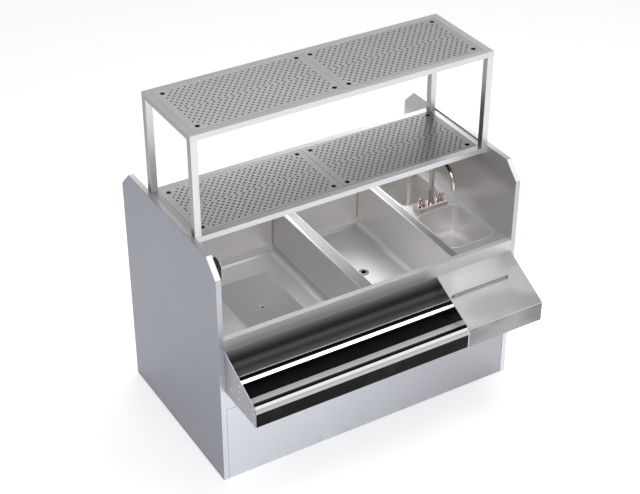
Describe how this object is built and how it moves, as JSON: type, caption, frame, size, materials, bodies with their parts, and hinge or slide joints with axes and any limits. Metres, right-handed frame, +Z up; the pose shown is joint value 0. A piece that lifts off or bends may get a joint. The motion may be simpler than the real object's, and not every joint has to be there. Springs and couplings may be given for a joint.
{
  "type": "bar sink with ice bin",
  "caption": "Stainless bar station with ice bin, open well, small sink and faucet, double bottle rail and a two-tier glass stand.",
  "frame": {"origin": "bottom centre of the whole station's bounding box, on the floor", "axes": "+X to the bartender's right, +Y from the bartender's side to the guest side, +Z up"},
  "size_m": [1.524, 1.152, 1.6165],
  "materials": {
    "brushed_steel": "satin",
    "polished_steel": "mirror polished",
    "chrome": "polished",
    "brass": "machined",
    "black_plastic": "moulded",
    "foam": "rigid insulating foam"
  },
  "bodies": {
    "station": {"side_panel_left": "brushed_steel", "side_panel_right": "brushed_steel", "side_liners": "brushed_steel", "back_panel": "brushed_steel", "base_frame": "brushed_steel", "front_fascia": "brushed_steel", "access_panel_catches": "brushed_steel", "deck_top": "brushed_steel", "sink_deck": "brushed_steel", "divider_cap_left": "polished_steel", "divider_cap_right": "polished_steel", "open_well": "brushed_steel", "ice_bin_liner": "brushed_steel", "ice_bin_foam": "foam", "rear_well": "brushed_steel", "sink_bowl": "brushed_steel", "bowl_beads": "polished_steel", "open_well_drain": "brushed_steel", "ice_bin_drain": "brushed_steel", "rear_well_drain": "brushed_steel", "sink_drain": "brushed_steel", "blender_shelf_arms": "brushed_steel", "outlet_box": "black_plastic", "outlet_receptacle": "black_plastic", "outlet_plate": "brushed_steel", "faucet_base": "chrome", "faucet_shanks": "brass", "faucet_bonnets": "chrome", "rail_trough": "polished_steel", "rail_divider": "polished_steel", "rail_end_left": "polished_steel", "rail_end_right": "polished_steel", "rail_rivets": "brushed_steel", "rail_bolts": "brushed_steel", "corner_ledge": "polished_steel", "towel_bar": "polished_steel", "tier_brackets": "brushed_steel", "bracket_screws": "brushed_steel", "posts_front": "brushed_steel", "posts_back": "brushed_steel", "lower_tier_frame": "brushed_steel", "upper_tier_frame": "brushed_steel", "lower_tier_floor": "brushed_steel", "upper_tier_floor": "brushed_steel", "tier_screws": "brushed_steel"},
    "lower_insert_left_body": {"lower_insert_left": "brushed_steel", "lower_rim_left": "brushed_steel"},
    "lower_insert_right_body": {"lower_insert_right": "brushed_steel", "lower_rim_right": "brushed_steel"},
    "upper_insert_left_body": {"upper_insert_left": "brushed_steel", "upper_rim_left": "brushed_steel"},
    "upper_insert_right_body": {"upper_insert_right": "brushed_steel", "upper_rim_right": "brushed_steel"},
    "shelf": {"blender_shelf": "brushed_steel"},
    "front_panel": {"access_panel": "brushed_steel"},
    "spout": {"faucet_spout": "chrome", "faucet_aerator": "chrome"},
    "hot": {"hot_handle": "chrome"},
    "cold": {"cold_handle": "chrome"},
    "strainer": {"sink_strainer": "brushed_steel"}
  },
  "joints": [
    {"name": "lower_insert_left_lift", "type": "slide", "parent": "station", "child": "lower_insert_left_body", "axis": [0, 0, 1], "range_m": [0, 0.15]},
    {"name": "lower_insert_right_lift", "type": "slide", "parent": "station", "child": "lower_insert_right_body", "axis": [0, 0, 1], "range_m": [0, 0.15]},
    {"name": "upper_insert_left_lift", "type": "slide", "parent": "station", "child": "upper_insert_left_body", "axis": [0, 0, 1], "range_m": [0, 0.2]},
    {"name": "upper_insert_right_lift", "type": "slide", "parent": "station", "child": "upper_insert_right_body", "axis": [0, 0, 1], "range_m": [0, 0.2]},
    {"name": "shelf_lift", "type": "slide", "parent": "station", "child": "shelf", "axis": [0, 0, 1], "range_m": [0, 0.25]},
    {"name": "front_panel_out", "type": "slide", "parent": "station", "child": "front_panel", "axis": [0, -1, 0], "range_m": [0, 0.25]},
    {"name": "spout_swivel", "type": "hinge", "parent": "station", "child": "spout", "pos_m": [0.58, 0.105, 0.786], "axis": [0, 0, 1], "range_deg": [-90, 50]},
    {"name": "hot_turn", "type": "hinge", "parent": "station", "child": "hot", "pos_m": [0.5292, 0.105, 0.804], "axis": [0, 0, 1], "range_deg": [0, 90]},
    {"name": "cold_turn", "type": "hinge", "parent": "station", "child": "cold", "pos_m": [0.6308, 0.105, 0.804], "axis": [0, 0, 1], "range_deg": [-90, 0]},
    {"name": "strainer_lift", "type": "slide", "parent": "station", "child": "strainer", "axis": [0, 0, 1], "range_m": [0, 0.1]}
  ]
}
